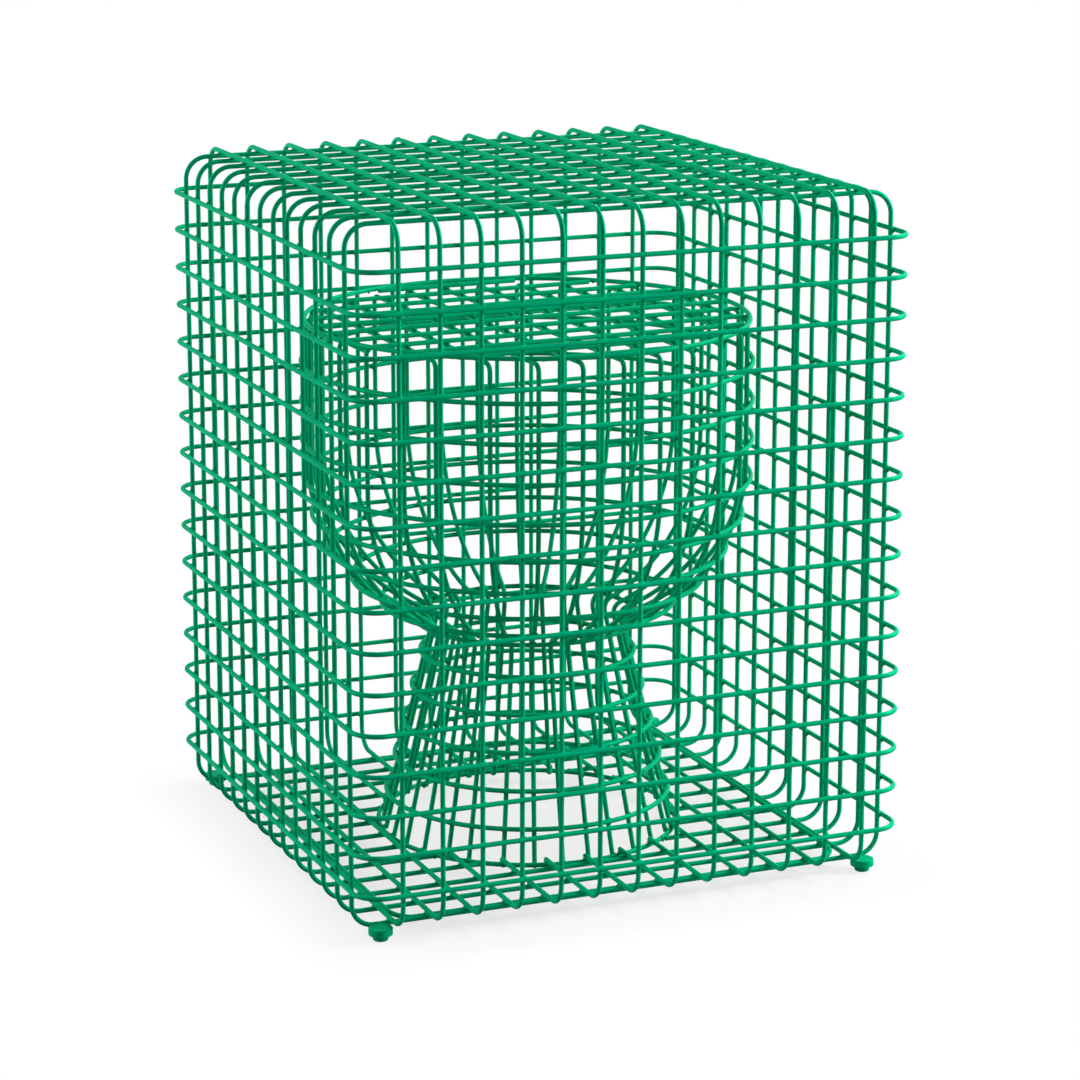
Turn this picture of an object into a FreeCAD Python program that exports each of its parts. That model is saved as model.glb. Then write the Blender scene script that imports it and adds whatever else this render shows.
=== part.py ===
import FreeCAD, Part
import math
import os
import Sketcher

# Wire stool: a square cage of welded wire hoops around a round wire goblet, on four small feet.
# Millimetres, +Z up, front of the stool towards -Y, origin on the floor under the middle.

doc = FreeCAD.newDocument("wire_stool")
sizes = doc.addObject("Spreadsheet::Sheet", "sizes")

# Driving dimensions
dimensions = [
    # the wire and how two welded wires lie on each other
    ("wire", 3.0),
    ("weld_gap", 0.05),
    # outer cage, measured on wire centrelines
    ("mesh_pitch", 25.0),
    ("hoop_count", 13),
    ("cage_width", 347.0),
    ("cage_height", 416.0),
    ("hoop_corner", 14.0),
    ("belt_count", 16),
    ("belt_pitch", 24.5),
    ("belt_lift", 24.9),
    ("belt_corner", 17.0),
    # ring that binds the floor mesh
    ("binding_corner", 12.0),
    ("binding_dip", 20.0),
    # feet
    ("pad_diameter", 14.5),
    ("pad_height", 4.3),
    ("pad_round", 0.4),
    ("pad_rise", 1.1),
    ("glide_diameter", 9.4),
    ("glide_height", 3.5),
    ("glide_round", 1.2),
    # goblet ribs, measured on wire centrelines
    ("seat_pitch", 25.4),
    ("rib_split", 50.0),
    ("rib_spacing", 8.0),
    ("goblet_turn", 1.9),
    ("bowl_radius", 138.0),
    ("bowl_sweep", 109.0),
    ("bowl_turn_height", 244.4),
    ("shoulder_radius", 5.0),
    ("seat_height", 329.4),
    ("neck_bend", 7.0),
    ("base_lean", 13.8),
    ("base_rib_radius", 92.4),
    ("rib_toe", 0.8),
    ("end_gap", 0.1),
    ("floor_end_reach", 2.0),
    ("rim_ease", 0.25),
    # goblet rings
    ("upper_ring_height", 306.8),
    ("bowl_ring_pitch", 24.5),
    ("sweep_ring_start", 5.6),
    ("base_ring_start", 28.0),
    ("base_ring_pitch", 22.75),
    ("neck_ring_back", 2.5),
]
for row, (alias, value) in enumerate(dimensions, start=1):
    sizes.set("A%d" % row, alias)
    sizes.set("B%d" % row, str(value))
    sizes.setAlias("B%d" % row, alias)
doc.recompute()


def size(alias):
    """Present value of one cell of the sheet."""
    return float(sizes.get(alias))


# Levels and offsets that several pieces share, as expressions on the sheet
LAYER = "(sizes.wire + sizes.weld_gap)"
CROSS_LEVEL = "(sizes.glide_height + sizes.pad_height - sizes.pad_rise)"
LENGTH_LEVEL = "(%s + %s)" % (CROSS_LEVEL, LAYER)
BELT_WIDTH = "(sizes.cage_width + 2 * %s)" % LAYER
LEAN_COS = "cos(sizes.base_lean * 1 deg)"
LEAN_TAN = "tan(sizes.base_lean * 1 deg)"
FLOOR_RING_RADIUS = "(sizes.base_rib_radius + %s / %s)" % (LAYER, LEAN_COS)
SPLIT_HEIGHT = "((sizes.bowl_turn_height + sizes.seat_height) / 2)"
RING_SWEEP = "(sizes.bowl_sweep + %s)" % LAYER
BOWL_CENTRE = "(sizes.bowl_radius - sizes.bowl_sweep)"
FOOT_PLACE = ("((sizes.hoop_count - 1) / 2 * sizes.mesh_pitch + sizes.wire / 2 + sizes.weld_gap"
              " + sizes.pad_diameter / 2)")

# Where a rib's bowl sweep ends: the neck bend touches the leaning base line and the sweep
LEAN_SIN = "sin(sizes.base_lean * 1 deg)"
RIB_FOOT_RADIUS = "(sizes.base_rib_radius + sizes.rib_toe * %s)" % LEAN_TAN
RIB_FOOT_LEVEL = "(%s - sizes.rib_toe)" % CROSS_LEVEL
NECK_ACROSS = "(%s + sizes.neck_bend * %s - %s)" % (RIB_FOOT_RADIUS, LEAN_COS, BOWL_CENTRE)
NECK_UP = "(%s + sizes.neck_bend * %s - sizes.bowl_turn_height)" % (RIB_FOOT_LEVEL, LEAN_SIN)
NECK_ALONG = "(%s * %s - %s * %s)" % (NECK_UP, LEAN_COS, NECK_ACROSS, LEAN_SIN)
NECK_BEYOND = "(%s ^ 2 + %s ^ 2 - (sizes.bowl_sweep + sizes.neck_bend) ^ 2)" % (NECK_ACROSS, NECK_UP)
NECK_RUN = "(0 - %s - sqrt(%s ^ 2 - %s))" % (NECK_ALONG, NECK_ALONG, NECK_BEYOND)
SWEEP_END = "atan2(0 - %s - %s * %s; %s - %s * %s)" % (NECK_UP, NECK_RUN, LEAN_COS,
                                                     NECK_ACROSS, NECK_RUN, LEAN_SIN)

# The same values as numbers, for first positions in sketches and for the counts
layer = size("wire") + size("weld_gap")
cross_level = size("glide_height") + size("pad_height") - size("pad_rise")
length_level = cross_level + layer
lean = math.radians(size("base_lean"))
floor_ring_radius = size("base_rib_radius") + layer / math.cos(lean)


def origin_plane(body, role):
    """One of the three origin planes of a body."""
    return [f for f in body.Origin.OriginFeatures if f.Role == role][0]


def new_body(label):
    body = doc.addObject("PartDesign::Body", label)
    body.Label = label
    return body


def new_sketch(body, name, role):
    sketch = body.newObject("Sketcher::SketchObject", body.Name + "_" + name)
    sketch.AttachmentSupport = (origin_plane(body, role), [""])
    sketch.MapMode = "FlatFace"
    return sketch


def bind(sketch, constraint, name, expression):
    """Add a dimension, name it and tie it to the sheet."""
    index = sketch.addConstraint(constraint)
    sketch.renameConstraint(index, name)
    sketch.setExpression("Constraints." + name, expression)


def line(x0, y0, x1, y1):
    return Part.LineSegment(FreeCAD.Vector(x0, y0, 0), FreeCAD.Vector(x1, y1, 0))


def arc(x, y, radius, start_deg, end_deg):
    circle = Part.Circle(FreeCAD.Vector(x, y, 0), FreeCAD.Vector(0, 0, 1), radius)
    return Part.ArcOfCircle(circle, math.radians(start_deg), math.radians(end_deg))


def wire_section(sketch, x, y, x_expression, y_expression):
    """Round wire section about a point; an empty expression puts it on the axis."""
    centre = FreeCAD.Vector(x, y, 0)
    ring = sketch.addGeometry(Part.Circle(centre, FreeCAD.Vector(0, 0, 1), size("wire") / 2), False)
    bind(sketch, Sketcher.Constraint("Diameter", ring, size("wire")), "wire", "sizes.wire")
    if not x_expression:
        sketch.addConstraint(Sketcher.Constraint("PointOnObject", ring, 3, -2))
    elif x > 0:
        bind(sketch, Sketcher.Constraint("DistanceX", -1, 1, ring, 3, x), "across", x_expression)
    else:
        bind(sketch, Sketcher.Constraint("DistanceX", ring, 3, -1, 1, -x), "across", x_expression)
    if not y_expression:
        sketch.addConstraint(Sketcher.Constraint("PointOnObject", ring, 3, -1))
    elif y > 0:
        bind(sketch, Sketcher.Constraint("DistanceY", -1, 1, ring, 3, y), "along", y_expression)
    else:
        bind(sketch, Sketcher.Constraint("DistanceY", ring, 3, -1, 1, -y), "along", y_expression)


def loop_path(sketch, width, low, height, corner, gap, terms):
    """Rounded rectangle that starts and ends on its low side, closed or with a gap in the middle there."""
    half = width / 2
    high = low + height
    right_in = half - corner
    start = sketch.addGeometry(line(gap, low, right_in, low), False)
    turn_1 = sketch.addGeometry(arc(right_in, low + corner, corner, 270, 360), False)
    right = sketch.addGeometry(line(half, low + corner, half, high - corner), False)
    turn_2 = sketch.addGeometry(arc(right_in, high - corner, corner, 0, 90), False)
    top = sketch.addGeometry(line(right_in, high, -right_in, high), False)
    turn_3 = sketch.addGeometry(arc(-right_in, high - corner, corner, 90, 180), False)
    left = sketch.addGeometry(line(-half, high - corner, -half, low + corner), False)
    turn_4 = sketch.addGeometry(arc(-right_in, low + corner, corner, 180, 270), False)
    end = sketch.addGeometry(line(-right_in, low, -gap, low), False)
    chain = [start, turn_1, right, turn_2, top, turn_3, left, turn_4, end]
    for first, second in zip(chain[:-1], chain[1:]):
        sketch.addConstraint(Sketcher.Constraint("Tangent", first, 2, second, 1))
    for run in (start, top, end):
        sketch.addConstraint(Sketcher.Constraint("Horizontal", run))
    for run in (right, left):
        sketch.addConstraint(Sketcher.Constraint("Vertical", run))
    for turn in (turn_2, turn_3, turn_4):
        sketch.addConstraint(Sketcher.Constraint("Equal", turn_1, turn))
    bind(sketch, Sketcher.Constraint("Radius", turn_1, corner), "corner", terms["corner"])
    bind(sketch, Sketcher.Constraint("DistanceX", left, 1, right, 1, width), "width", terms["width"])
    bind(sketch, Sketcher.Constraint("DistanceX", -1, 1, right, 1, half), "half_width",
         terms["width"] + " / 2")
    bind(sketch, Sketcher.Constraint("DistanceY", start, 1, top, 1, height), "height", terms["height"])
    if low > 0:
        bind(sketch, Sketcher.Constraint("DistanceY", -1, 1, start, 1, low), "level", terms["level"])
    else:
        bind(sketch, Sketcher.Constraint("DistanceY", start, 1, -1, 1, -low), "level", terms["level"])
    if gap > 0:
        sketch.addConstraint(Sketcher.Constraint("Symmetric", start, 1, end, 2, -2))
        bind(sketch, Sketcher.Constraint("DistanceX", -1, 1, start, 1, gap), "gap", terms["gap"])
    else:
        sketch.addConstraint(Sketcher.Constraint("PointOnObject", start, 1, -2))
        sketch.addConstraint(Sketcher.Constraint("Coincident", start, 1, end, 2))


def sweep_wire(body, section, path):
    pipe = body.newObject("PartDesign::AdditivePipe", path.Name + "_wire")
    pipe.Profile = section
    pipe.Spine = path
    pipe.Mode = "Standard"
    section.Visibility = False
    path.Visibility = False
    return pipe


# Upright hoops of the cage
def upright_hoop(label, index, turn, level, level_term, reach, reach_term):
    """One upright hoop; its floor run stops short of the goblet's floor ring where the two would meet."""
    middle = (size("hoop_count") - 1) / 2
    place = (index - middle) * size("mesh_pitch")
    place_term = "(%d - (sizes.hoop_count - 1) / 2) * sizes.mesh_pitch" % index
    inner = abs(place) - size("wire") / 2
    inner_term = "(abs(%s) - sizes.wire / 2)" % place_term
    gap = 0.0
    gap_term = ""
    if inner < reach:
        gap = math.sqrt(reach ** 2 - inner ** 2)
        gap_term = "sqrt(%s ^ 2 - %s ^ 2)" % (reach_term, inner_term)
    body = new_body(label)
    path = new_sketch(body, "path", "XZ_Plane")
    terms = {"width": "sizes.cage_width", "height": "sizes.cage_height", "corner": "sizes.hoop_corner",
             "level": level_term, "gap": gap_term}
    loop_path(path, size("cage_width"), level, size("cage_height"), size("hoop_corner"), gap, terms)
    section = new_sketch(body, "section", "YZ_Plane")
    if gap > 0:
        section.setExpression("AttachmentOffset.Base.z", gap_term)
    wire_section(section, 0, level, "", level_term)
    sweep_wire(body, section, path)
    if turn:
        quarter = FreeCAD.Rotation(FreeCAD.Vector(0, 0, 1), 90)
        body.Placement = FreeCAD.Placement(FreeCAD.Vector(place, 0, 0), quarter)
        body.setExpression("Placement.Base.x", place_term)
    else:
        body.setExpression("Placement.Base.y", place_term)
    return body


# Belts around the cage
def belt_hoop(label, index):
    body = new_body(label)
    width = size("cage_width") + 2 * layer
    path = new_sketch(body, "path", "XY_Plane")
    terms = {"width": BELT_WIDTH, "height": BELT_WIDTH, "corner": "sizes.belt_corner",
             "level": BELT_WIDTH + " / 2"}
    loop_path(path, width, -width / 2, width, size("belt_corner"), 0.0, terms)
    section = new_sketch(body, "section", "YZ_Plane")
    wire_section(section, -width / 2, 0, BELT_WIDTH + " / 2", "")
    sweep_wire(body, section, path)
    level_term = "%s + sizes.belt_lift + %d * sizes.belt_pitch" % (CROSS_LEVEL, index)
    body.setExpression("Placement.Base.z", level_term)
    return body


# Goblet wires
def rib_path(sketch):
    """Half of a rib in its upright plane: leaning base, neck bend, bowl sweep, upright side."""
    foot_z = cross_level - size("rib_toe")
    foot_r = size("base_rib_radius") + size("rib_toe") * math.tan(lean)
    bowl_r = size("bowl_radius")
    sweep = size("bowl_sweep")
    centre_r = bowl_r - sweep
    centre_z = size("bowl_turn_height")
    bend = size("neck_bend")
    # the neck bend touches the base line and the bowl sweep from outside
    up = (-math.sin(lean), math.cos(lean))
    out = (math.cos(lean), math.sin(lean))
    start = (foot_r + bend * out[0] - centre_r, foot_z + bend * out[1] - centre_z)
    along = start[0] * up[0] + start[1] * up[1]
    beyond = start[0] ** 2 + start[1] ** 2 - (sweep + bend) ** 2
    run = -along - math.sqrt(along ** 2 - beyond)
    bend_r = foot_r + bend * out[0] + run * up[0]
    bend_z = foot_z + bend * out[1] + run * up[1]
    sweep_deg = math.degrees(math.atan2(bend_z - centre_z, bend_r - centre_r))
    top_z = (size("bowl_turn_height") + size("seat_height")) / 2
    base = sketch.addGeometry(line(foot_r, foot_z, foot_r + run * up[0], foot_z + run * up[1]), False)
    neck = sketch.addGeometry(arc(bend_r, bend_z, bend, 180 + sweep_deg, 180 + size("base_lean")), False)
    bowl = sketch.addGeometry(arc(centre_r, centre_z, sweep, sweep_deg, 0), False)
    side = sketch.addGeometry(line(bowl_r, centre_z, bowl_r, top_z), False)
    sketch.addConstraint(Sketcher.Constraint("Tangent", base, 2, neck, 2))
    sketch.addConstraint(Sketcher.Constraint("Tangent", neck, 1, bowl, 1))
    sketch.addConstraint(Sketcher.Constraint("Tangent", bowl, 2, side, 1))
    sketch.addConstraint(Sketcher.Constraint("Vertical", side))
    bind(sketch, Sketcher.Constraint("DistanceX", -1, 1, base, 1, foot_r), "foot_radius", RIB_FOOT_RADIUS)
    bind(sketch, Sketcher.Constraint("DistanceY", -1, 1, base, 1, foot_z), "foot_level", RIB_FOOT_LEVEL)
    bind(sketch, Sketcher.Constraint("Angle", -2, 2, base, 2, lean), "lean", "sizes.base_lean * 1 deg")
    bind(sketch, Sketcher.Constraint("Radius", neck, bend), "neck_bend", "sizes.neck_bend")
    bind(sketch, Sketcher.Constraint("Radius", bowl, sweep), "bowl_sweep", "sizes.bowl_sweep")
    bind(sketch, Sketcher.Constraint("DistanceX", -1, 1, side, 2, bowl_r), "bowl_radius",
         "sizes.bowl_radius")
    bind(sketch, Sketcher.Constraint("DistanceY", -1, 1, bowl, 3, centre_z), "turn_height",
         "sizes.bowl_turn_height")
    bind(sketch, Sketcher.Constraint("DistanceY", -1, 1, side, 2, top_z), "split", SPLIT_HEIGHT)


def seat_path(sketch, reach, reach_term, level, level_term):
    """Half of a seat run: up from the bowl's side, over the shoulder and in to the middle of the seat."""
    low = (size("bowl_turn_height") + size("seat_height")) / 2
    bend = size("shoulder_radius")
    side = sketch.addGeometry(line(-reach, low, -reach, level - bend), False)
    shoulder = sketch.addGeometry(arc(bend - reach, level - bend, bend, 90, 180), False)
    run = sketch.addGeometry(line(bend - reach, level, 0, level), False)
    sketch.addConstraint(Sketcher.Constraint("Tangent", side, 2, shoulder, 2))
    sketch.addConstraint(Sketcher.Constraint("Tangent", shoulder, 1, run, 1))
    sketch.addConstraint(Sketcher.Constraint("Vertical", side))
    sketch.addConstraint(Sketcher.Constraint("Horizontal", run))
    sketch.addConstraint(Sketcher.Constraint("PointOnObject", run, 2, -2))
    bind(sketch, Sketcher.Constraint("DistanceX", side, 1, -1, 1, reach), "reach", reach_term)
    bind(sketch, Sketcher.Constraint("DistanceY", -1, 1, side, 1, low), "split", SPLIT_HEIGHT)
    bind(sketch, Sketcher.Constraint("DistanceY", -1, 1, run, 2, level), "level", level_term)
    bind(sketch, Sketcher.Constraint("Radius", shoulder, bend), "shoulder", "sizes.shoulder_radius")


def rib_wire(label, step, turn, lift):
    """One wire that is two opposite ribs and the seat run between them, bent at shoulders and neck."""
    across = step * size("seat_pitch")
    across_term = "(%d * sizes.seat_pitch)" % step
    angle = math.asin(across / size("bowl_radius"))
    reach = size("bowl_radius") * math.cos(angle)
    reach_term = "sqrt(sizes.bowl_radius ^ 2 - %s ^ 2)" % across_term
    level = size("seat_height") + lift * layer
    level_term = "sizes.seat_height + %d * %s" % (lift, LAYER)
    body = new_body(label)
    section = new_sketch(body, "section", "XY_Plane")
    section.setExpression("AttachmentOffset.Base.z", SPLIT_HEIGHT)
    wire_section(section, across, -reach, "abs(%s)" % across_term if step else "", reach_term)
    rib = new_sketch(body, "rib", "XZ_Plane")
    rib_turn = FreeCAD.Rotation(FreeCAD.Vector(0, 1, 0), math.degrees(angle) - 90)
    rib.AttachmentOffset = FreeCAD.Placement(FreeCAD.Vector(0, 0, 0), rib_turn)
    rib_path(rib)
    run = new_sketch(body, "run", "YZ_Plane")
    run.setExpression("AttachmentOffset.Base.z", across_term)
    seat_path(run, reach, reach_term, level, level_term)
    down = sweep_wire(body, section, rib)
    over = sweep_wire(body, section, run)
    other_half = body.newObject("PartDesign::Mirrored", label + "_other_half")
    other_half.Originals = [down, over]
    other_half.MirrorPlane = (origin_plane(body, "XZ_Plane"), [""])
    body.Tip = other_half
    heading = FreeCAD.Rotation(FreeCAD.Vector(0, 0, 1), turn + 1)
    body.Placement = FreeCAD.Placement(FreeCAD.Vector(0, 0, 0), heading)
    body.setExpression("Placement.Rotation.Angle", "sizes.goblet_turn + %d" % turn)
    return body


def stop_row(step, other_rows):
    """First long wire the other way whose shoulder a short wire under it would meet, or 0 for none."""
    edge = abs(step) * size("seat_pitch") + size("wire") / 2
    for row in range(1, other_rows + 1):
        reach = math.sqrt(size("bowl_radius") ** 2 - (row * size("seat_pitch")) ** 2)
        if reach - size("shoulder_radius") < edge:
            return row
    return 0


def short_wire(label, step, turn, lift, stop):
    """Straight seat wire that ends just inside the rim ring, or before a shoulder in its way."""
    across_term = "(%d * sizes.seat_pitch)" % step
    inside = "(%s - sizes.wire / 2 - sizes.end_gap)" % RIM_RADIUS
    half_term = "sqrt(%s ^ 2 - (abs(%s) + sizes.wire / 2) ^ 2)" % (inside, across_term)
    if stop:
        before_stop = "%d * sizes.seat_pitch - sizes.wire / 2 - sizes.end_gap" % stop
        half_term = "min(%s; %s)" % (half_term, before_stop)
    wire = doc.addObject("Part::Cylinder", label)
    wire.Label = label
    wire.setExpression("Radius", "sizes.wire / 2")
    wire.setExpression("Height", "2 * " + half_term)
    # the cylinder lies along Y before the turn about the stool's axis
    total = "(sizes.goblet_turn + %d) * 1 deg" % turn
    heading = FreeCAD.Rotation(FreeCAD.Vector(0, 0, 1), turn + size("goblet_turn"))
    lay_down = FreeCAD.Rotation(FreeCAD.Vector(1, 0, 0), -90)
    wire.Placement = FreeCAD.Placement(FreeCAD.Vector(0, 0, 0), heading * lay_down)
    x_term = "%s * cos(%s) + %s * sin(%s)" % (across_term, total, half_term, total)
    y_term = "%s * sin(%s) - %s * cos(%s)" % (across_term, total, half_term, total)
    wire.setExpression("Placement.Base.x", x_term)
    wire.setExpression("Placement.Base.y", y_term)
    wire.setExpression("Placement.Base.z", "sizes.seat_height + %d * %s" % (lift, LAYER))
    return wire


# The rim ring lies in the outer corner of the upper wires' shoulders
RIM_OFFSET = "((sizes.shoulder_radius + %s + sizes.rim_ease) * sqrt(0.5) - sizes.shoulder_radius)" % LAYER
RIM_RADIUS = "(sizes.bowl_radius + %s)" % RIM_OFFSET
RIM_HEIGHT = "(sizes.seat_height + %s + %s)" % (LAYER, RIM_OFFSET)


def wire_rows():
    """Last row of long wires lengthwise and across, and last row of all that still has a short wire."""
    pitch = size("seat_pitch")
    radius = size("bowl_radius")
    lengthwise = int(radius * math.sin(math.radians(size("rib_split"))) / pitch)
    # ribs of the cross wires keep clear of the outermost lengthwise rib
    free_angle = math.pi / 2 - math.asin(lengthwise * pitch / radius) - math.radians(size("rib_spacing"))
    across = int(radius * math.sin(free_angle) / pitch)
    corner = (size("shoulder_radius") + layer + size("rim_ease")) * math.sqrt(0.5)
    inside = radius + corner - size("shoulder_radius") - size("wire") / 2 - size("end_gap")
    # a short wire reaches at least one pitch to either side, inside the middle wires' shoulders
    edge = min(math.sqrt(inside ** 2 - pitch ** 2), radius - size("shoulder_radius"))
    last = int((edge - size("wire") / 2) / pitch)
    return lengthwise, across, last


def seat_wires(prefix, long_rows, other_rows, last_row, turn, lift):
    """Long wires in the middle of the seat and short ones beside them out to the last row."""
    wires = []
    for step in range(-long_rows, long_rows + 1):
        wires.append(rib_wire("%s_rib_%d" % (prefix, step + long_rows + 1), step, turn, lift))
    outer_steps = [s for s in range(-last_row, last_row + 1) if abs(s) > long_rows]
    for number, step in enumerate(outer_steps, start=1):
        stop = 0 if lift else stop_row(step, other_rows)
        wires.append(short_wire("%s_seat_wire_%d" % (prefix, number), step, turn, lift, stop))
    return wires


def ring(label, radius_term, height_term):
    torus = doc.addObject("Part::Torus", label)
    torus.Label = label
    torus.setExpression("Radius1", radius_term)
    torus.setExpression("Radius2", "sizes.wire / 2")
    torus.setExpression("Placement.Base.z", height_term)
    return torus


def group(label, members):
    node = doc.addObject("Part::Compound", label)
    node.Label = label
    node.Links = members
    return node


# Ring that binds the floor mesh: its sides lie on the cross hoops, front and back under the length hoops
def binding_path():
    """Level runs joined at each corner by a dip, a tilted turn and a rise back to level, all tangent."""
    side = (size("hoop_count") - 1) / 2 * size("mesh_pitch") - layer
    turn = size("binding_corner")
    dip = size("binding_dip")
    # slope at which two dips and one tilted turn lose one layer of height
    slope = layer / (2 * turn)
    for step in range(20):
        slope = math.asin((layer - 2 * dip * (1 - math.cos(slope))) / (2 * turn))
    sine = math.sin(slope)
    cosine = math.cos(slope)
    reach = dip * sine
    drop = dip * (1 - cosine)
    # turn between the two sloping headings, seen in its own tilted plane
    full_turn = math.acos(sine ** 2)
    tangent = turn * math.tan(full_turn / 2)
    inset = tangent * cosine + reach
    edges = []
    corners = []
    for quarter in range(4):
        heading = FreeCAD.Rotation(FreeCAD.Vector(0, 0, 1), 90 * quarter)
        falling = quarter % 2 == 1
        z0 = length_level if falling else cross_level
        sign = -1 if falling else 1
        # first quarter: along +X at y = -side, then along +Y at x = +side
        x_end = side - inset
        p0 = FreeCAD.Vector(x_end, -side, 0)
        half_reach = dip * math.sin(slope / 2)
        half_drop = sign * dip * (1 - math.cos(slope / 2))
        mid_a = FreeCAD.Vector(x_end + half_reach, -side, half_drop)
        p1 = FreeCAD.Vector(x_end + reach, -side, sign * drop)
        d1 = FreeCAD.Vector(cosine, 0, sign * sine)
        d2 = FreeCAD.Vector(0, cosine, sign * sine)
        p2 = p1 + (d1 + d2) * tangent
        apex = p1 + d1 * tangent
        bisector = (p1 + p2) * 0.5 - apex
        bisector.normalize()
        mid_b = apex + bisector * (turn / math.cos(full_turn / 2) - turn)
        p3 = p2 + FreeCAD.Vector(0, reach, sign * drop)
        mid_c = p3 - FreeCAD.Vector(0, half_reach, half_drop)
        points = []
        for point in (p0, mid_a, p1, mid_b, p2, mid_c, p3):
            moved = heading.multVec(point)
            points.append(FreeCAD.Vector(moved.x, moved.y, moved.z + z0))
        corners.append(points)
    for quarter in range(4):
        points = corners[quarter]
        edges.append(Part.Arc(points[0], points[1], points[2]).toShape())
        edges.append(Part.Arc(points[2], points[3], points[4]).toShape())
        edges.append(Part.Arc(points[4], points[5], points[6]).toShape())
        edges.append(Part.LineSegment(points[6], corners[(quarter + 1) % 4][0]).toShape())
    path = doc.addObject("Part::Feature", "floor_binding_path")
    # start in the middle of a level run so that the section stands square to it
    last = edges.pop()
    first_point = last.Vertexes[0].Point
    last_point = last.Vertexes[-1].Point
    middle = (first_point + last_point) * 0.5
    ordered = [Part.LineSegment(middle, last_point).toShape()] + edges
    ordered.append(Part.LineSegment(first_point, middle).toShape())
    path.Shape = Part.Wire(ordered)
    path.Visibility = False
    return path, middle, last_point - first_point


def binding_ring(label):
    path, start, heading = binding_path()
    section = doc.addObject("Part::Circle", "floor_binding_section")
    section.setExpression("Radius", "sizes.wire / 2")
    section.Placement = FreeCAD.Placement(start, FreeCAD.Rotation(FreeCAD.Vector(0, 0, 1), heading))
    section.Visibility = False
    bar = doc.addObject("Part::Sweep", label)
    bar.Label = label
    bar.Sections = [section]
    bar.Spine = (path, ["Edge%d" % (k + 1) for k in range(len(path.Shape.Edges))])
    bar.Solid = True
    bar.Frenet = False
    return bar


# Feet: a round pad in the outer nook of each corner of the floor mesh, with a small glide below it
def turned_foot(label, kind, level, level_term, x_sign, y_sign):
    """Turned disc with a rounded lower edge; the pad's upper edge is rounded too."""
    body = new_body(label)
    half = new_sketch(body, "half", "XZ_Plane")
    radius = size(kind + "_diameter") / 2
    high = level + size(kind + "_height")
    edge = size(kind + "_round")
    both = kind == "pad"
    wall_top = high - edge if both else high
    sole = half.addGeometry(line(0, level, radius - edge, level), False)
    turn = half.addGeometry(arc(radius - edge, level + edge, edge, 270, 360), False)
    wall = half.addGeometry(line(radius, level + edge, radius, wall_top), False)
    half.addConstraint(Sketcher.Constraint("Tangent", sole, 2, turn, 1))
    half.addConstraint(Sketcher.Constraint("Tangent", turn, 2, wall, 1))
    if both:
        upper = half.addGeometry(arc(radius - edge, wall_top, edge, 0, 90), False)
        top = half.addGeometry(line(radius - edge, high, 0, high), False)
        half.addConstraint(Sketcher.Constraint("Tangent", wall, 2, upper, 1))
        half.addConstraint(Sketcher.Constraint("Tangent", upper, 2, top, 1))
        half.addConstraint(Sketcher.Constraint("Equal", turn, upper))
    else:
        top = half.addGeometry(line(radius, high, 0, high), False)
        half.addConstraint(Sketcher.Constraint("Coincident", wall, 2, top, 1))
        half.addConstraint(Sketcher.Constraint("Horizontal", top))
    axis = half.addGeometry(line(0, high, 0, level), False)
    half.addConstraint(Sketcher.Constraint("Coincident", top, 2, axis, 1))
    half.addConstraint(Sketcher.Constraint("Coincident", axis, 2, sole, 1))
    half.addConstraint(Sketcher.Constraint("PointOnObject", axis, 1, -2))
    half.addConstraint(Sketcher.Constraint("PointOnObject", axis, 2, -2))
    half.addConstraint(Sketcher.Constraint("Horizontal", sole))
    half.addConstraint(Sketcher.Constraint("Vertical", wall))
    if level > 0:
        bind(half, Sketcher.Constraint("DistanceY", -1, 1, axis, 2, level), "level", level_term)
    else:
        half.addConstraint(Sketcher.Constraint("PointOnObject", axis, 2, -1))
    tall = size(kind + "_height")
    bind(half, Sketcher.Constraint("Radius", turn, edge), "edge", "sizes.%s_round" % kind)
    bind(half, Sketcher.Constraint("DistanceX", -1, 1, wall, 1, radius), "radius",
         "sizes.%s_diameter / 2" % kind)
    bind(half, Sketcher.Constraint("DistanceY", axis, 2, axis, 1, tall), "height", "sizes.%s_height" % kind)
    turned = body.newObject("PartDesign::Revolution", label + "_turned")
    turned.Profile = half
    turned.ReferenceAxis = (half, ["V_Axis"])
    turned.Angle = 360
    half.Visibility = False
    body.setExpression("Placement.Base.x", "%d * %s" % (x_sign, FOOT_PLACE))
    body.setExpression("Placement.Base.y", "%d * %s" % (y_sign, FOOT_PLACE))
    return body


# Build every node
nodes = []
cross_reach = floor_ring_radius + layer / 2
cross_reach_term = "(%s + %s / 2)" % (FLOOR_RING_RADIUS, LAYER)
length_reach = floor_ring_radius - size("floor_end_reach")
length_reach_term = "(%s - sizes.floor_end_reach)" % FLOOR_RING_RADIUS
for k in range(int(size("hoop_count"))):
    nodes.append(upright_hoop("cross_hoop_%02d" % (k + 1), k, False, cross_level, CROSS_LEVEL,
                              cross_reach, cross_reach_term))
for k in range(int(size("hoop_count"))):
    nodes.append(upright_hoop("length_hoop_%02d" % (k + 1), k, True, length_level, LENGTH_LEVEL,
                              length_reach, length_reach_term))
for k in range(int(size("belt_count"))):
    nodes.append(belt_hoop("belt_hoop_%02d" % (k + 1), k))
nodes.append(binding_ring("floor_binding_ring"))
nodes.append(ring("goblet_floor_ring", FLOOR_RING_RADIUS, CROSS_LEVEL))
for k in range(5):
    height_term = "(sizes.base_ring_start + %d * sizes.base_ring_pitch)" % k
    radius_term = "%s - (%s - %s) * %s" % (FLOOR_RING_RADIUS, height_term, CROSS_LEVEL, LEAN_TAN)
    nodes.append(ring("base_ring_%d" % (k + 1), radius_term, height_term))
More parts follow.
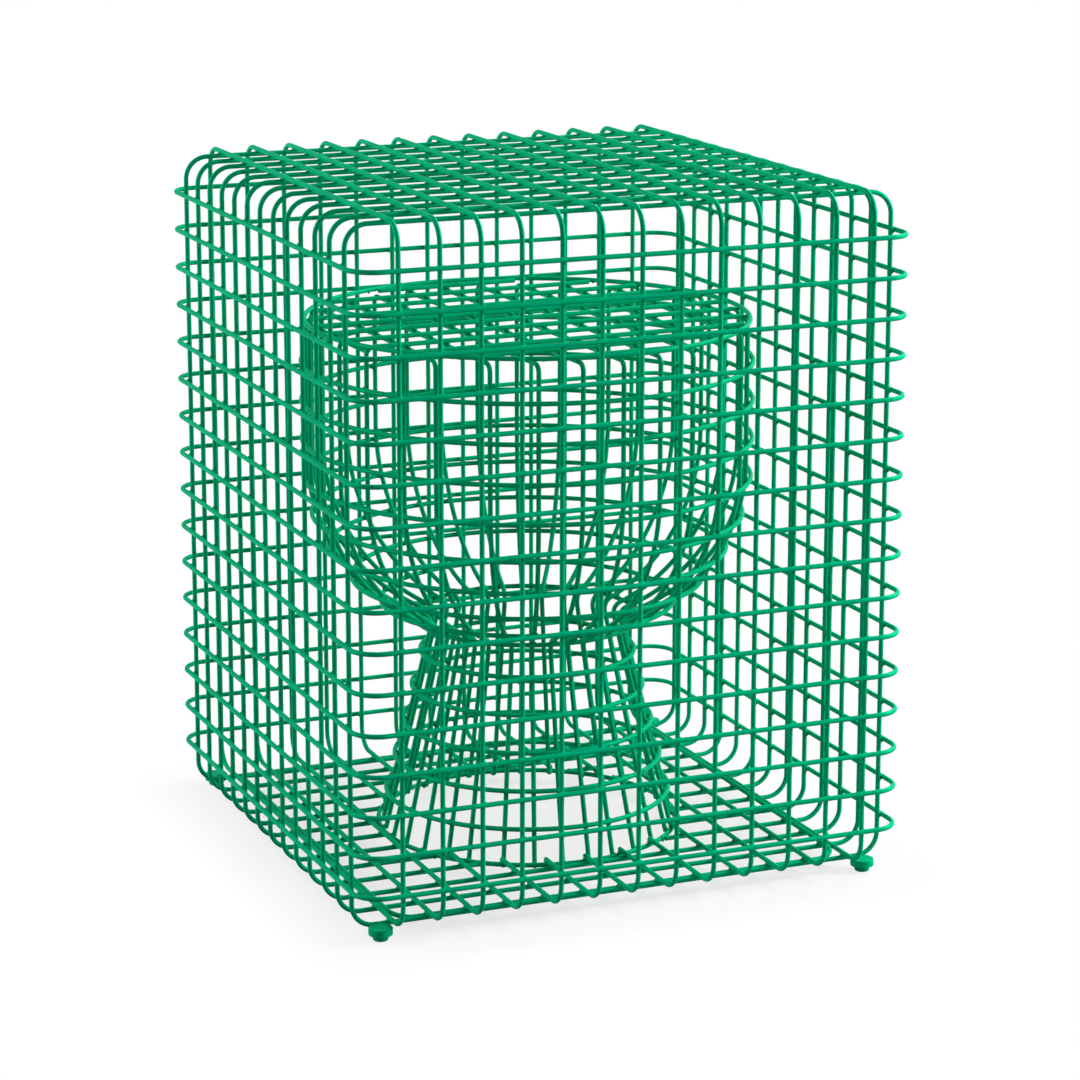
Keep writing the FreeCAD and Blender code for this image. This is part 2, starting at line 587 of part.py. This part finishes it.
# from the neck up to the first ring of the bowl's side the rings are evenly spaced along the sweep
names = ["neck_ring", "bowl_ring_1", "bowl_ring_2", "bowl_ring_3", "bowl_ring_4"]
ring_span = "(%s - (sizes.neck_ring_back + sizes.sweep_ring_start) * 1 deg)" % SWEEP_END
for k, name in enumerate(names):
    step = (len(names) - k, len(names))
    angle_term = "(sizes.sweep_ring_start * 1 deg + %s * %d / %d)" % ((ring_span,) + step)
    radius_term = "%s + %s * cos(%s)" % (BOWL_CENTRE, RING_SWEEP, angle_term)
    height_term = "sizes.bowl_turn_height - %s * sin(%s)" % (RING_SWEEP, angle_term)
    nodes.append(ring(name, radius_term, height_term))
upper = []
first_angle = "(sizes.sweep_ring_start * 1 deg)"
upper.append(ring("upper_ring_1", "%s + %s * cos(%s)" % (BOWL_CENTRE, RING_SWEEP, first_angle),
                  "sizes.bowl_turn_height - %s * sin(%s)" % (RING_SWEEP, first_angle)))
for k in range(3):
    upper.append(ring("upper_ring_%d" % (k + 2), "sizes.bowl_radius + %s" % LAYER,
                      "sizes.upper_ring_height - %d * sizes.bowl_ring_pitch" % (2 - k)))
nodes.append(group("bowl_side_rings", upper))
nodes.append(ring("seat_rim_ring", RIM_RADIUS, RIM_HEIGHT))
length_rows, cross_rows, last_row = wire_rows()
length_wires = seat_wires("length", length_rows, cross_rows, last_row, 0, 0)
nodes.append(group("goblet_length_wires", length_wires))
cross_wires = seat_wires("cross", cross_rows, length_rows, last_row, 90, 1)
nodes.append(group("goblet_cross_wires", cross_wires))
corner_signs = [(-1, -1), (1, -1), (1, 1), (-1, 1)]
pads = []
glides = []
for k, (x, y) in enumerate(corner_signs):
    pads.append(turned_foot("foot_pad_%d" % (k + 1), "pad", size("glide_height"), "sizes.glide_height", x, y))
    glides.append(turned_foot("foot_glide_%d" % (k + 1), "glide", 0, "", x, y))
nodes.append(group("foot_pads", pads))
nodes.append(group("foot_glides", glides))

doc.recompute()

# Check every object before anything is written
for thing in doc.Objects:
    if "Invalid" in thing.State or "Error" in thing.State:
        raise RuntimeError("%s did not build: %s" % (thing.Label, thing.State))
for node in nodes:
    if node.Shape.isNull() or not node.Shape.isValid() or not node.Shape.Solids:
        raise RuntimeError("%s has no valid solid" % node.Label)

os.makedirs("parts", exist_ok=True)
for node in nodes:
    node.Shape.exportStep("parts/%s.step" % node.Label)
print("%d nodes written" % len(nodes))
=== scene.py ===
import math
import random
import bpy
from mathutils import Matrix, Quaternion, Vector


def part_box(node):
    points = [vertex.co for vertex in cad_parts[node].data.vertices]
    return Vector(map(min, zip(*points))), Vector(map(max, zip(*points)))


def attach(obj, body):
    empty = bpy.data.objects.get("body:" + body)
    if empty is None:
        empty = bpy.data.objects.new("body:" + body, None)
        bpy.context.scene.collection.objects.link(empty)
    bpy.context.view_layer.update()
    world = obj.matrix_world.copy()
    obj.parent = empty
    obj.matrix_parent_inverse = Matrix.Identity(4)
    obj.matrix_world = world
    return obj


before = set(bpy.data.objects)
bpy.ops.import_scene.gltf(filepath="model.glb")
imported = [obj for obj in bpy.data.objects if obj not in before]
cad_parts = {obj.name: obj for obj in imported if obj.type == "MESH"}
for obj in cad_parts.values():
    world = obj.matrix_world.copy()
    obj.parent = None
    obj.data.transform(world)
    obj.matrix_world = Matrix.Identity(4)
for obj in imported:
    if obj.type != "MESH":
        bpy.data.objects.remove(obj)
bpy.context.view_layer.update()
random.seed(7)
scene = bpy.context.scene
MM = 0.001
UP = Vector((0, 0, 1))

# Sizes of the stool that its boxes don't give
WIRE = 3.0 * MM
PAD_RADIUS = 7.25 * MM
GOBLET_TURN = math.radians(1.9)
BASE_LEAN = math.radians(13.8)
# centre of the arc below the bowl's upright wall, as (outward, upward)
BOWL_CENTRE = Vector((29.0 * MM, 244.4 * MM))
# steps of the seat's pitch from its middle to the last long wire each way and to the last row
SEAT_PITCH = 25.4 * MM
LAST_LONG_LENGTHWISE = 4
LAST_LONG_CROSS = 3
LAST_ROW = 5
SEAT_EDGE = 1.5 * WIRE


# Shader nodes
# a Mix node's colour sockets, by number because its other sockets have the same names
MIX_A = 6
MIX_B = 7
MIX_RESULT = 2


def grey(value):
    return (value, value, value, 1)


class Nodes:
    """Adds shader nodes to the emptied tree of one material or world."""

    def __init__(self, owner):
        owner.use_nodes = True
        self.tree = owner.node_tree
        self.tree.nodes.clear()

    def add(self, kind, **inputs):
        """New node with its input values by name, underscores for spaces."""
        node = self.tree.nodes.new(kind)
        for name, value in inputs.items():
            node.inputs[name.replace("_", " ")].default_value = value
        return node

    def link(self, source, output, target, name):
        self.tree.links.new(source.outputs[output], target.inputs[name])

    def noise(self, coords, scale, detail, roughness):
        node = self.add("ShaderNodeTexNoise", Scale=scale, Detail=detail, Roughness=roughness)
        self.link(coords, "Object", node, "Vector")
        return node

    def ramp(self, source, output, stops):
        """Colour ramp through stops of position and colour."""
        node = self.add("ShaderNodeValToRGB")
        elements = node.color_ramp.elements
        for element, (position, color) in zip(elements, (stops[0], stops[-1])):
            element.position = position
            element.color = color
        for position, color in stops[1:-1]:
            elements.new(position).color = color
        self.link(source, output, node, "Fac")
        return node

    def map_range(self, source, output, old, new):
        """Moves a value from the old range of (low, high) to the new one."""
        node = self.add("ShaderNodeMapRange", From_Min=old[0], From_Max=old[1], To_Min=new[0], To_Max=new[1])
        self.link(source, output, node, "Value")
        return node

    def calc(self, operation, *values):
        """Math node fed by plain numbers or by (node, output) pairs."""
        node = self.add("ShaderNodeMath")
        node.operation = operation
        for socket, value in enumerate(values):
            if isinstance(value, tuple):
                self.link(value[0], value[1], node, socket)
            else:
                node.inputs[socket].default_value = value
        return node

    def color_mix(self, blend, first, second=None):
        """Mix node for two colours. Without a second node, that colour is set on its socket."""
        node = self.add("ShaderNodeMix")
        node.data_type = "RGBA"
        node.blend_type = blend
        self.link(first, "Color", node, MIX_A)
        if second:
            self.link(second, "Color", node, MIX_B)
        return node

    def split(self, output):
        """X, Y and Z of one kind of texture coordinate."""
        coords = self.add("ShaderNodeTexCoord")
        node = self.add("ShaderNodeSeparateXYZ")
        self.link(coords, output, node, "Vector")
        return node

    def seen_rays(self):
        """One for rays that show the stage itself: from the camera, off a gloss, through glass."""
        path = self.add("ShaderNodeLightPath")
        first = self.calc("MAXIMUM", (path, "Is Camera Ray"), (path, "Is Glossy Ray"))
        return self.calc("MAXIMUM", (first, "Value"), (path, "Is Transmission Ray"))

    def finish(self, shader, output, kind="ShaderNodeOutputMaterial"):
        self.link(shader, output, self.add(kind), "Surface")


# Materials
COAT_DARK = (0.0, 0.36, 0.165, 1)
COAT_LIGHT = (0.0, 0.43, 0.2, 1)
WELD_DARK = (0.0, 0.33, 0.15, 1)
WELD_LIGHT = (0.0, 0.41, 0.19, 1)
COAT_METALLIC = 0.06
COAT_SPECULAR = 0.005
COAT_SPECULAR_TINT = (0.0, 1.0, 0.72, 1)
CLOUD_SCALE = 38.0
PEEL_SCALE = 900.0
SPECK_SCALE = 2600.0
SPECK_DARK = grey(0.9)
SPECK_LIGHT = grey(1.06)
GLOSS_SWING = 0.06
PEEL_HEIGHT = 0.2 * MM
FOOT_EDGE = math.radians(35)


def powder_coat(name, dark, light, rough, grain):
    """Green powder coat: cloudy tone over centimetres, specks and orange peel over about a millimetre."""
    material = bpy.data.materials.new(name)
    nodes = Nodes(material)
    coords = nodes.add("ShaderNodeTexCoord")
    cloud = nodes.noise(coords, CLOUD_SCALE, detail=3.0, roughness=0.55)
    peel = nodes.noise(coords, PEEL_SCALE, detail=2.0, roughness=0.5)
    speck = nodes.noise(coords, SPECK_SCALE, detail=1.0, roughness=0.5)
    tone = nodes.ramp(cloud, "Fac", [(0.3, dark), (0.7, light)])
    fleck = nodes.ramp(speck, "Fac", [(0.35, SPECK_DARK), (0.65, SPECK_LIGHT)])
    color = nodes.color_mix("MULTIPLY", tone, fleck)
    color.inputs["Factor"].default_value = 1.0
    gloss = nodes.map_range(peel, "Fac", (0.0, 1.0), (rough - GLOSS_SWING, rough + GLOSS_SWING))
    bump = nodes.add("ShaderNodeBump", Strength=grain, Distance=PEEL_HEIGHT)
    nodes.link(peel, "Fac", bump, "Height")
    shader = nodes.add("ShaderNodeBsdfPrincipled", Metallic=COAT_METALLIC)
    shader.inputs["Specular IOR Level"].default_value = COAT_SPECULAR
    shader.inputs["Specular Tint"].default_value = COAT_SPECULAR_TINT
    nodes.link(color, MIX_RESULT, shader, "Base Color")
    nodes.link(gloss, "Result", shader, "Roughness")
    nodes.link(bump, "Normal", shader, "Normal")
    nodes.finish(shader, "BSDF")
    return material


wire_coat = powder_coat("wire_coat", COAT_DARK, COAT_LIGHT, rough=0.36, grain=0.12)
weld_coat = powder_coat("weld_coat", WELD_DARK, WELD_LIGHT, rough=0.42, grain=0.3)
foot_coat = powder_coat("foot_coat", COAT_DARK, COAT_LIGHT, rough=0.4, grain=0.2)

for name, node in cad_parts.items():
    is_foot = name.startswith("foot")
    node.data.materials.clear()
    node.data.materials.append(foot_coat if is_foot else wire_coat)
    node.data.shade_smooth()
    if is_foot:
        node.data.set_sharp_from_angle(angle=FOOT_EDGE)


# Places read from the frame
def named(prefix):
    """Names of the nodes that start alike, in order."""
    return sorted(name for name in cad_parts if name.startswith(prefix))


def middle(node, axis):
    low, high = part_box(node)
    return (low[axis] + high[axis]) / 2


def reach(node, axis):
    """Outermost centreline of a node along one axis."""
    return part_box(node)[1][axis] - WIRE / 2


def lowest(node):
    """Height of a node's lowest centreline."""
    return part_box(node)[0].z + WIRE / 2


def rings_of(node):
    """Radius and height of each level ring in a node, from the lowest up."""
    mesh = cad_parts[node].data
    points = sorted((v.co.z, math.hypot(v.co.x, v.co.y)) for v in mesh.vertices)
    levels = [[points[0]]]
    for point in points[1:]:
        if point[0] - levels[-1][-1][0] > WIRE:
            levels.append([])
        levels[-1].append(point)
    found = []
    for level in levels:
        radii = [radius for z, radius in level]
        found.append(((min(radii) + max(radii)) / 2, (level[0][0] + level[-1][0]) / 2))
    return found


cross = named("cross_hoop")
length = named("length_hoop")
belts = named("belt_hoop")
cross_y = [middle(hoop, 1) for hoop in cross]
length_x = [middle(hoop, 0) for hoop in length]
belt_z = [middle(hoop, 2) for hoop in belts]
cross_level = lowest(cross[0])
length_level = lowest(length[0])
layer = length_level - cross_level
floor_ring_radius = rings_of("goblet_floor_ring")[0][0]
rim_radius, rim_z = rings_of("seat_rim_ring")[0]
bowl_radius = rings_of("bowl_side_rings")[-1][0] - layer
seat_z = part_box("goblet_cross_wires")[1].z - WIRE / 2 - layer / 2


# Welds: uneven beads shaped like a lens, each kind given by its half width and half depth
BEAD_SEGMENTS = 10
BEAD_RINGS = 5
WIRE_BEAD = (2.2 * MM, 0.95 * MM)
RIM_BEAD = (1.2 * MM, 0.6 * MM)
FOOT_BEAD = (2.6 * MM, 0.8 * MM)
UNEVEN_WIDTH = (0.9, 1.12)
UNEVEN_SIDE = (0.93, 1.07)
UNEVEN_DEPTH = (0.9, 1.15)


def unit_bead(segments, rings):
    """Points and faces of a unit ball, poles along Z."""
    points = [Vector((0, 0, 1))]
    for r in range(1, rings):
        tilt = math.pi * r / rings
        flat = math.sin(tilt)
        for s in range(segments):
            turn = 2 * math.pi * s / segments
            points.append(Vector((flat * math.cos(turn), flat * math.sin(turn), math.cos(tilt))))
    points.append(Vector((0, 0, -1)))
    faces = []
    for s in range(segments):
        t = (s + 1) % segments
        faces.append((0, 1 + s, 1 + t))
        for r in range(rings - 2):
            a = 1 + r * segments
            b = a + segments
            faces.append((a + s, b + s, b + t, a + t))
        last = 1 + (rings - 2) * segments
        faces.append((last + s, len(points) - 1, last + t))
    return points, faces


BEAD_POINTS, BEAD_FACES = unit_bead(BEAD_SEGMENTS, BEAD_RINGS)


def welds(name, spots, bead=WIRE_BEAD):
    """One piece with a bead at every spot: a point and the direction between two wires."""
    points = []
    faces = []
    for place, normal in spots:
        turn = normal.to_track_quat("Z", "Y").to_matrix().to_4x4()
        spin = Matrix.Rotation(random.uniform(0, math.pi), 4, "Z")
        width = bead[0] * random.uniform(*UNEVEN_WIDTH)
        side = width * random.uniform(*UNEVEN_SIDE)
        depth = bead[1] * random.uniform(*UNEVEN_DEPTH)
        move = Matrix.Translation(place) @ turn @ spin @ Matrix.Diagonal((side, width, depth, 1))
        first = len(points)
        points += [move @ point for point in BEAD_POINTS]
        faces += [[first + corner for corner in face] for face in BEAD_FACES]
    mesh = bpy.data.meshes.new(name)
    mesh.from_pydata(points, [], faces)
    mesh.shade_smooth()
    mesh.materials.append(weld_coat)
    piece = bpy.data.objects.new(name, mesh)
    scene.collection.objects.link(piece)
    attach(piece, "root")


# belts on the upright hoops
face_out = (reach(cross[0], 0) + reach(belts[0], 0)) / 2
spots = []
for z in belt_z:
    for sign in (-1, 1):
        for y in cross_y:
            spots.append((Vector((sign * face_out, y, z)), Vector((sign, 0, 0))))
        for x in length_x:
            spots.append((Vector((x, sign * face_out, z)), Vector((0, sign, 0))))
welds("cage_side_welds", spots)

# upright hoops on each other at the top
top_z = (reach(cross[0], 2) + reach(length[0], 2)) / 2
welds("cage_top_welds", [(Vector((x, y, top_z)), UP) for x in length_x for y in cross_y])

# upright hoops in the floor: on each other, on the binding ring and on the goblet's floor ring
floor_z = (cross_level + length_level) / 2
bind_side = reach("floor_binding_ring", 0)
spots = []
for x in length_x:
    for y in cross_y:
        if math.hypot(x, y) > floor_ring_radius + WIRE:
            spots.append((Vector((x, y, floor_z)), UP))
for sign in (-1, 1):
    for y in cross_y[1:-1]:
        spots.append((Vector((sign * bind_side, y, floor_z)), UP))
        if abs(y) < floor_ring_radius:
            end = math.sqrt((floor_ring_radius + WIRE / 2) ** 2 - y ** 2)
            spots.append((Vector((sign * end, y, cross_level)), Vector((sign * end, y, 0)).normalized()))
    for x in length_x[1:-1]:
        spots.append((Vector((x, sign * bind_side, floor_z)), UP))
        if abs(x) < floor_ring_radius:
            end = math.sqrt(floor_ring_radius ** 2 - x ** 2)
            spots.append((Vector((x, sign * end, floor_z)), UP))
welds("floor_welds", spots)

# headings of the goblet's ribs, which follow from the even pitch of the seat wires
turned = Matrix.Rotation(GOBLET_TURN, 4, "Z")


def steps_to(last):
    """Steps of the pitch from one side of the seat to the other."""
    return range(-last, last + 1)


def wire_ends(steps, radius):
    """Both ends on a circle, seen from above, of seat wires along X at the given steps of the pitch."""
    ends = []
    for k in steps:
        side = k * SEAT_PITCH
        for sign in (-1, 1):
            ends.append(Vector((sign * math.sqrt(radius ** 2 - side ** 2), side, 0)))
    return ends


headings = [turned @ end.normalized() for end in wire_ends(steps_to(LAST_LONG_CROSS), bowl_radius)]
for end in wire_ends(steps_to(LAST_LONG_LENGTHWISE), bowl_radius):
    headings.append(turned @ Vector((end.y, end.x, 0)).normalized())


# rings on the ribs of the goblet
def bowl_out(radius, z):
    """Direction out of the bowl's wall at a ring, as (outward, upward)."""
    if z > BOWL_CENTRE.y:
        return Vector((1, 0))
    return (Vector((radius, z)) - BOWL_CENTRE).normalized()


base_out = Vector((math.cos(BASE_LEAN), math.sin(BASE_LEAN)))
rings = []
for name in ["goblet_floor_ring"] + named("base_ring"):
    rings += [(radius, z, base_out) for radius, z in rings_of(name)]
for name in ["neck_ring", "bowl_side_rings"] + named("bowl_ring"):
    rings += [(radius, z, bowl_out(radius, z)) for radius, z in rings_of(name)]
spots = []
for radius, z, out in rings:
    for heading in headings:
        normal = heading * out.x + UP * out.y
        spots.append((heading * radius + UP * z - normal * layer / 2, normal))
welds("goblet_ring_welds", spots)

# seat wires on each other
rows = [k * SEAT_PITCH for k in steps_to(LAST_ROW)]
spots = []
for x in rows:
    for y in rows:
        if math.hypot(x, y) < rim_radius - SEAT_EDGE:
            spots.append((turned @ Vector((x, y, seat_z)), UP))
welds("seat_welds", spots)

# rim ring in the shoulders of the upper wires, and on the ends of the short ones
upper_z = seat_z + layer / 2
short_steps = [k for k in steps_to(LAST_ROW) if abs(k) > LAST_LONG_CROSS]
spots = []
for end in wire_ends(steps_to(LAST_LONG_CROSS), rim_radius):
    outward = (end.normalized() + UP).normalized()
    spots.append((turned @ (end + UP * rim_z - outward * layer / 2), turned @ outward))
for end in wire_ends(short_steps, rim_radius):
    outward = end.normalized()
    spots.append((turned @ (end + UP * upper_z - outward * layer / 2), turned @ outward))
welds("seat_rim_welds", spots, RIM_BEAD)

# feet on the outer cross hoops
foot_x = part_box("foot_pads")[1].x - PAD_RADIUS
nook_y = abs(cross_y[0]) + WIRE / 2
spots = []
for x_sign in (-1, 1):
    for y_sign in (-1, 1):
        spots.append((Vector((x_sign * foot_x, y_sign * nook_y, cross_level)), Vector((0, y_sign, 0))))
welds("foot_welds", spots, FOOT_BEAD)

# Lamps: soft boxes low at the two sides, a third behind on the right, and a weak one in front
LAMP_SIDE = 1.0
LAMP_AIM = Vector((0, 0, 0.2))
LAMPS = (
    ("right", (1.90, -0.83, 0.95), 60),
    ("left", (-1.90, 0.83, 0.95), 42),
    ("right_back", (1.57, 0.62, 1.61), 52),
    ("right_front", (0.75, -1.51, 1.61), 8),
)
for name, place, power in LAMPS:
    light = bpy.data.lights.new(name, "AREA")
    light.shape = "RECTANGLE"
    light.size = LAMP_SIDE
    light.size_y = LAMP_SIDE
    light.energy = power
    lamp = bpy.data.objects.new(name, light)
    lamp.location = place
    lamp.rotation_euler = (LAMP_AIM - Vector(place)).to_track_quat("-Z", "Y").to_euler()
    scene.collection.objects.link(lamp)

# Floor: it lies a hair under the glides, so that no two faces share a place
FLOOR_REACH = 30.0
FLOOR_Z = -0.05 * MM
PAPER_BOUNCE = 0.33
# Seen from the camera, the floor near the stool glows less, a painted shadow around its rounded square
# footprint, and keeps a weakened real shadow; both fade out between the start and end distances from the
# middle
PAPER_SHADE = 0.18
PAINTED_SHADOW_GLOW = 0.70
PAINTED_SHADOW_FADE_START = 0.15
PAINTED_SHADOW_FADE_END = 0.215
PAINTED_SHADOW_ROUND = 0.1


def pale_paper():
    """Bounces a grey onto the wires. It is seen as white, with a painted shadow around the stool (a lower
    glow near its footprint) over a weakened real shadow.
    """
    material = bpy.data.materials.new("paper")
    nodes = Nodes(material)
    seen = nodes.seen_rays()
    place = nodes.split("Object")
    side_x = nodes.calc("ABSOLUTE", (place, "X"))
    side_y = nodes.calc("ABSOLUTE", (place, "Y"))
    away = nodes.calc("SMOOTH_MAX", (side_x, "Value"), (side_y, "Value"), PAINTED_SHADOW_ROUND)
    painted_shadow_fade = nodes.map_range(away, "Value", (PAINTED_SHADOW_FADE_START, PAINTED_SHADOW_FADE_END), (0.0, 1.0))
    shade = nodes.map_range(painted_shadow_fade, "Result", (0.0, 1.0), (PAPER_SHADE, 0.0))
    # painted shadow: the glow near the stool's footprint is lower than the white farther off
    painted_shadow_glow = nodes.map_range(painted_shadow_fade, "Result", (0.0, 1.0), (PAINTED_SHADOW_GLOW, 1.0))
    tone = nodes.add("ShaderNodeMix", A=PAPER_BOUNCE)
    nodes.link(shade, "Result", tone, "B")
    nodes.link(seen, "Value", tone, "Factor")
    diffuse = nodes.add("ShaderNodeBsdfDiffuse")
    nodes.link(tone, "Result", diffuse, "Color")
    white = nodes.add("ShaderNodeEmission")
    strength = nodes.calc("MULTIPLY", (seen, "Value"), (painted_shadow_glow, "Result"))
    nodes.link(strength, "Value", white, "Strength")
    both = nodes.add("ShaderNodeAddShader")
    nodes.link(diffuse, "BSDF", both, 0)
    nodes.link(white, "Emission", both, 1)
    nodes.finish(both, "Shader")
    return material


CORNER_SIGNS = ((-1, -1), (1, -1), (1, 1), (-1, 1))
corners = [(x * FLOOR_REACH, y * FLOOR_REACH, FLOOR_Z) for x, y in CORNER_SIGNS]
floor_mesh = bpy.data.meshes.new("floor")
floor_mesh.from_pydata(corners, [], [(0, 1, 2, 3)])
floor_mesh.materials.append(pale_paper())
floor = bpy.data.objects.new("floor", floor_mesh)
scene.collection.objects.link(floor)

# World: white to be seen, and for light a weak dome that is brightest at the horizon
DOME_LIGHT = 0.14
DOME_STOPS = [(0.0, grey(DOME_LIGHT)), (0.25, grey(DOME_LIGHT / 2)), (0.5, grey(0))]
scene.world = bpy.data.worlds.new("studio")
nodes = Nodes(scene.world)
seen = nodes.seen_rays()
dome = nodes.ramp(nodes.split("Generated"), "Z", DOME_STOPS)
tone = nodes.color_mix("MIX", dome)
tone.inputs[MIX_B].default_value = grey(1)
nodes.link(seen, "Value", tone, "Factor")
sky = nodes.add("ShaderNodeBackground")
nodes.link(tone, MIX_RESULT, sky, "Color")
nodes.finish(sky, "Background", "ShaderNodeOutputWorld")

# Camera at the photo's angle
AZIMUTH = math.radians(-22.76)
ELEVATION = math.radians(12.58)
ROLL = math.radians(0.05)
TARGET = Vector((8.77 * MM, 0, 247.01 * MM))
DISTANCE = 2196.87 * MM
SENSOR_WIDTH = 36
FOCAL_LENGTH = 116.32
SHIFT_UP = -0.0833
FAR_CLIP = 100
level = math.cos(ELEVATION)
back = Vector((math.sin(AZIMUTH) * level, -math.cos(AZIMUTH) * level, math.sin(ELEVATION)))
camera_data = bpy.data.cameras.new("camera")
camera_data.sensor_width = SENSOR_WIDTH
camera_data.lens = FOCAL_LENGTH
camera_data.shift_y = SHIFT_UP
camera_data.clip_end = FAR_CLIP
camera = bpy.data.objects.new("camera", camera_data)
camera.location = TARGET + back * DISTANCE
camera.rotation_euler = ((-back).to_track_quat("-Z", "Y") @ Quaternion((0, 0, 1), ROLL)).to_euler()
scene.collection.objects.link(camera)
scene.camera = camera
scene.view_settings.view_transform = "Standard"
